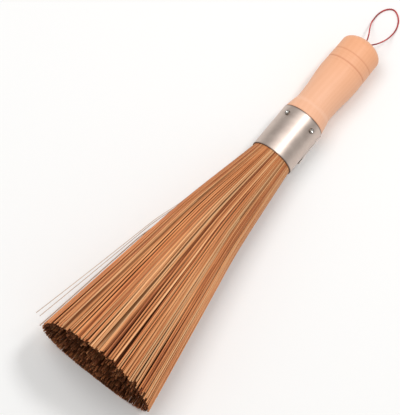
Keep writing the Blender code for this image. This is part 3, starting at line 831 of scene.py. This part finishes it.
def splint_plan(rng):
    """Every splint as a row: mouth radius and angle, tip radius and angle, and its own looks; the key dark is painted
    shade for how deep it lies.
    """
    clumps = make_clumps(rng)
    rows, skin = [], []
    radii = [14.45 - LAYER * j for j in range(19)]
    for first, count, depth0, depth1 in ((0, 3, 0.05, 0.95), (3, 3, 1.6, 3.5)):
        sheet = []
        for j in range(first, first + count):
            n = int(2 * math.pi * radii[j] / PITCH)
            off = rng.uniform()
            for i in range(n):
                sheet.append((360.0 * (i + off + rng.uniform(-0.12, 0.12)) / n % 360.0, j))
        sheet.sort()
        total = len(sheet)
        shift = np.mean([(a - 360.0 * (i + 0.5) / total + 180) % 360 - 180 for i, (a, _) in enumerate(sheet)])
        evens = 360.0 * (np.arange(total) + 0.5) / total + shift
        if skin:                                    # the second sheet lies behind the widest gaps of the first
            skin.sort()
            gaps = sorted(((b - a, (a + b) / 2) for a, b in zip(skin, skin[1:] + [skin[0] + 360.0])), reverse=True)
            behind = np.sort([m % 360.0 for _, m in gaps[:total]])
            off = [(np.roll(behind, -s) - evens + 180) % 360 - 180 for s in range(total)]
            evens = evens + off[int(np.argmin([np.abs(o).sum() for o in off]))]
        for i, (a, j) in enumerate(sheet):
            even = float(evens[i])
            c = clump_of(clumps, even)
            mid = (c[0] + c[1]) / 2
            mid += 360.0 * round((even - mid) / 360.0)
            low = float(smooth((0.42 - math.cos(math.radians(even))) / 0.45))
            gather = (mid - even) * (1 - c[2]) * (1 - 0.85 * low) * (1.0 if first == 0 else 0.0)
            depth = depth0 + (depth1 - depth0) * ((i * 0.618) % 1.0) + c[3] + rng.uniform(0, 0.15)
            wander = rng.normal(0, 0.30) if rng.uniform() > 0.08 else rng.normal(0, 1.2)
            wander *= 1 - 0.7 * low                 # the flanks stay closed
            if first == 0:
                skin.append((even + wander + gather) % 360.0)
                tint = 0.60 + c[4] + rng.normal(0, 0.17) + (0.24 if rng.uniform() < 0.10 else 0)
                # painted shade: deeper layers, and splints lying deeper, are darker
                dark = 1.0 - 0.11 * (j - first) - 0.38 * max(0.0, depth - 0.45)
                if rng.uniform() < 0.19:            # a splint that has sunk between its neighbours, painted darker for the shade it lies in
                    depth += rng.uniform(0.35, 0.9)
                    dark *= rng.uniform(0.22, 0.50)
            else:
                # painted shade for the second sheet behind the skin: a lower tone and a fixed darkness
                tint = 0.30 + 0.5 * c[4] + rng.normal(0, 0.10)
                dark = 0.24
                wander = rng.normal(0, 0.12)
            short = abs(rng.normal(0, 1.0)) + (rng.uniform(0, 2.6) if rng.uniform() < 0.18 else 0)
            rows.append(dict(kind="outer", layer=j, r0=radii[j], a0=a, a1=even + wander, depth=depth,
                             gather=gather, tint=tint, dark=dark, short=short * (1 - 0.86 * low)))
    for j in range(6, 19):
        n = int(2 * math.pi * radii[j] / (PITCH * 1.03))
        off = rng.uniform()
        for i in range(n):
            a = 360.0 * (i + off) / n % 360.0
            r0 = radii[j]
            low = float(smooth((0.42 - math.cos(math.radians(a))) / 0.45) * smooth((r0 - 6.0) / 5.0))
            # painted shade for the splints inside the head: a lower tone and a fixed darkness
            rows.append(dict(kind="inner" if r0 > 3.6 else "core", layer=j, r0=r0, a0=a,
                             a1=a + rng.normal(0, 1.0) * (12.0 / r0) ** 0.5, depth=None,
                             share=(r0 / 11.1) + rng.normal(0, 0.022), gather=0.0,
                             tint=0.40 + rng.normal(0, 0.12), dark=0.20,
                             short=4.6 * rng.uniform() ** 1.6 * (1 - 0.85 * low)))
    for r0, n in ((2.74, 18), (2.12, 13), (1.5, 9), (0.9, 5), (0.3, 2)):
        for i in range(n):
            a = 360.0 * (i + 0.37 * r0) / n % 360.0
            # painted shade for the core splints, as for the inner ones
            rows.append(dict(kind="core", layer=20, r0=r0, a0=a, a1=a + rng.normal(0, 4.0), depth=None,
                             share=(r0 / 11.1) + rng.normal(0, 0.012), gather=0.0,
                             tint=0.40 + rng.normal(0, 0.12), dark=0.20, short=4.6 * rng.uniform() ** 1.6))
    return rows


def grow(rows, rng, root=0.1):
    """Centre lines, sections and looks of these splints as arrays for splint_mesh.

    They start just inside the mouth, where the clamped root pack ends."""
    n = len(rows)
    col = lambda key: np.array([r[key] for r in rows], float)
    r0, a0, a1 = col("r0"), col("a0"), col("a1")
    a1 = a0 + ((a1 - a0 + 180) % 360 - 180)
    tip_r = tip_radius(a1)
    width = np.clip(rng.normal(W, 0.09, n), 0.66, 1.12)
    height = np.clip(rng.normal(H, 0.05, n), 0.42, 0.66)
    depth = np.array([r["depth"] if r["depth"] is not None else 0.0 for r in rows])
    share = np.array([r.get("share", 0.0) for r in rows])
    deep = np.array([r["depth"] is None for r in rows])
    r1 = np.where(deep, np.clip(share, 0.0, 0.985) * (tip_r - 3.6), tip_r - height / 2 - 0.03 - depth)
    end = -SPLINT_LEN + np.minimum(col("short"), 4.6)
    s = np.array([0.0, 0.006, 0.014, 0.028, 0.05, 0.085] + [0.14 + 0.069 * i for i in range(12)] + [0.974, 1.0])
    x = root + (end[:, None] - root) * s[None, :]                     # (n, SEG)
    soft = 1.4
    t = soft * np.logaddexp(0, (-x - 0.3) / soft) / (SPLINT_LEN - 0.3)
    turn = a0[:, None] + (a1 - a0)[:, None] * t + col("gather")[:, None] * t ** 1.5
    r = r0[:, None] + (r1 - r0)[:, None] * t
    ph = rng.uniform(0, 2 * math.pi, (n, 1))
    ph2 = rng.uniform(0, 2 * math.pi, (n, 1))
    free = smooth(t * 2.5)
    r = r + 0.10 * free * np.sin(2 * math.pi * 1.3 * t + ph)
    arc = 0.22 * free * np.sin(2 * math.pi * 1.1 * t + ph2) + 0.05 * free * np.sin(2 * math.pi * 4.3 * t + ph)
    turn = turn + np.degrees(arc / np.maximum(r, 2.0))
    limit = surface_radius(np.minimum(x, -0.3), turn) - height[:, None] / 2 - 0.03
    limit = np.where(x > -0.6, 14.82 - height[:, None] / 2, limit)      # clear of the ferrule's sheet
    r = np.minimum(r, limit)
    centre = np.stack([x, np.zeros_like(x), np.zeros_like(x)], -1) + r[..., None] * direction(turn)
    centre[..., 1] += sway(x)
    face = turn + rng.normal(0, 5.0, (n, 1)) + rng.normal(0, 9.0, (n, 1)) * t
    dark = col("dark")[:, None]
    # painted shade: a splint's darkness, set by how deeply it lies, reaches full strength a third of the way to the
    # tips
    shade = 1.0 - (1.0 - dark) * (0.60 + 0.40 * smooth(t * 3.0))
    shade = shade * (0.80 + 0.26 * smooth((-x - 0.2) / 110.0))        # painted shade, darkest at the mouth where the ferrule's rim shades the splints
    lit = 0.12 + 0.66 * rng.uniform(0, 1, n) ** 1.9                   # inner ends catch the light
    shade[:, -1] = np.where(dark[:, 0] < 0.3, lit, shade[:, -1])
    shade[:, -2] = np.where(dark[:, 0] < 0.3, 0.5 * (lit + dark[:, 0]), shade[:, -2])
    ident = rng.uniform(0, 60, n)
    return centre, width, height, face, np.clip(col("tint"), 0.02, 0.98), shade, ident


def make_splints(mat):
    rng = np.random.default_rng(1187)
    rows = splint_plan(rng)
    groups = {}
    for r in rows:
        k = int(round(r["a0"] / 30.0)) % 12 + 1
        name = "core_bundle" if r["kind"] == "core" else f"{r['kind']}_bundle_{k:02d}"
        groups.setdefault(name, []).append(r)
    total = 0
    for name in sorted(groups):
        group = sorted(groups[name], key=lambda r: (r["layer"], r["a0"]))
        total += len(group)
        mesh = splint_mesh(name + "_splints", *grow(group, rng))
        ob = new_object(name + "_splints", mesh, mat)
        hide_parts(name)
        if name == "core_bundle":
            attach(ob, "brush_body")
        else:
            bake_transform(ob)
    print("splints:", total)


STRAYS = [("stray_splint_1", 80.0, -62.0, 7.0, 3.8, 0.62, 0.42, 0.90),
          ("stray_splint_2", 84.5, -66.0, 4.4, 4.6, 0.56, 0.40, 0.97),
          ("stray_splint_3", 89.5, -80.0, 0.6, 0.6, 0.80, 0.50, 0.72)]


def make_strays(mat):
    """Splints that have peeled off one side; their roots are hidden among their neighbours."""
    for i, (name, turn, start, off, short, width, height, tint) in enumerate(STRAYS):
        end = -SPLINT_LEN + short
        x = np.linspace(start + 26.0, end, 22)
        t = (x - start) / (end - start)
        tt = np.clip(t, 0, 1)
        tuck = smooth(-t * (end - start) / -26.0)
        r = surface_radius(x, np.full_like(x, turn)) + (0.55 + 0.3 + 0.35) * smooth(tt * 5) + off * (0.82 * tt + 0.18 * tt * tt)
        r = r - 0.45 * (1 - smooth(tt * 5)) - 1.0 * tuck
        lean = turn + 0.25 * np.sin(np.linspace(0, 5, 22) + i)
        c = np.stack([x, 0 * x, 0 * x], -1) + r[:, None] * direction(lean)
        c[:, 1] += sway(x)
        mesh = splint_mesh(name + "_peeled", c[None], np.array([width]), np.array([height]),
                           (lean + 12.0 * (i - 1))[None], np.array([tint]), np.ones((1, 22)), np.array([3.0 + 7 * i]))
        ob = new_object(name + "_peeled", mesh, mat)
        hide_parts(name)
        p = surface_radius(np.array(start), np.array(turn)) + 1.2
        hub = np.array([start, float(sway(np.array(start))), 0.0]) + float(p) * direction(np.array(turn))
        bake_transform(ob)


def dress_roots(mat):
    """The clamped roots stay as the CAD made them and get their fibres from the material."""
    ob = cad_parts["splint_roots"]
    me = ob.data
    co = np.zeros(len(me.vertices) * 3)
    me.vertices.foreach_get("co", co)
    loc = (co.reshape(-1, 3) - np.array(ORIGIN)) @ SPIN / MM
    put_vector(me, "grain", loc)
    put_float(me, "tint", np.full(len(loc), 0.4))
    # painted shade: the roots sit inside the ferrule
    put_float(me, "shade", np.full(len(loc), 0.7))
    put_float(me, "cut", np.zeros(len(me.polygons)), "FACE")
    me.materials.clear()
    me.materials.append(mat)


# ---- build -----------------------------------------------------------------
make_camera()
RED = cord_material("cord_red", (0.20, 0.008, 0.012), (0.62, 0.035, 0.04), (0.80, 0.16, 0.13))
KNOT = cord_material("knot_red", (0.12, 0.01, 0.01), (0.42, 0.05, 0.04), (0.55, 0.13, 0.12))
make_cord(RED)
make_studio()

BAMBOO_STOPS = [(0.0, (0.17, 0.040, 0.013)), (0.28, (0.45, 0.126, 0.041)), (0.52, (0.73, 0.256, 0.088)),
                (0.76, (0.89, 0.392, 0.158)), (1.0, (0.95, 0.53, 0.26))]
BAMBOO = bamboo_material("bamboo", BAMBOO_STOPS, (0.015, 0.004, 0.0013), (0.43, 0.160, 0.062))
PALE_STOPS = [(0.0, (0.30, 0.19, 0.12)), (0.5, (0.42, 0.29, 0.20)), (1.0, (0.66, 0.52, 0.40))]
PALE = bamboo_material("bamboo_pale", PALE_STOPS, (0.10, 0.05, 0.03), (0.34, 0.20, 0.12))

make_handle(wood_material())
make_plug(KNOT)
make_ferrule(steel_material())
make_nails(nail_material())
make_splints(BAMBOO)
make_strays(PALE)
dress_roots(BAMBOO)
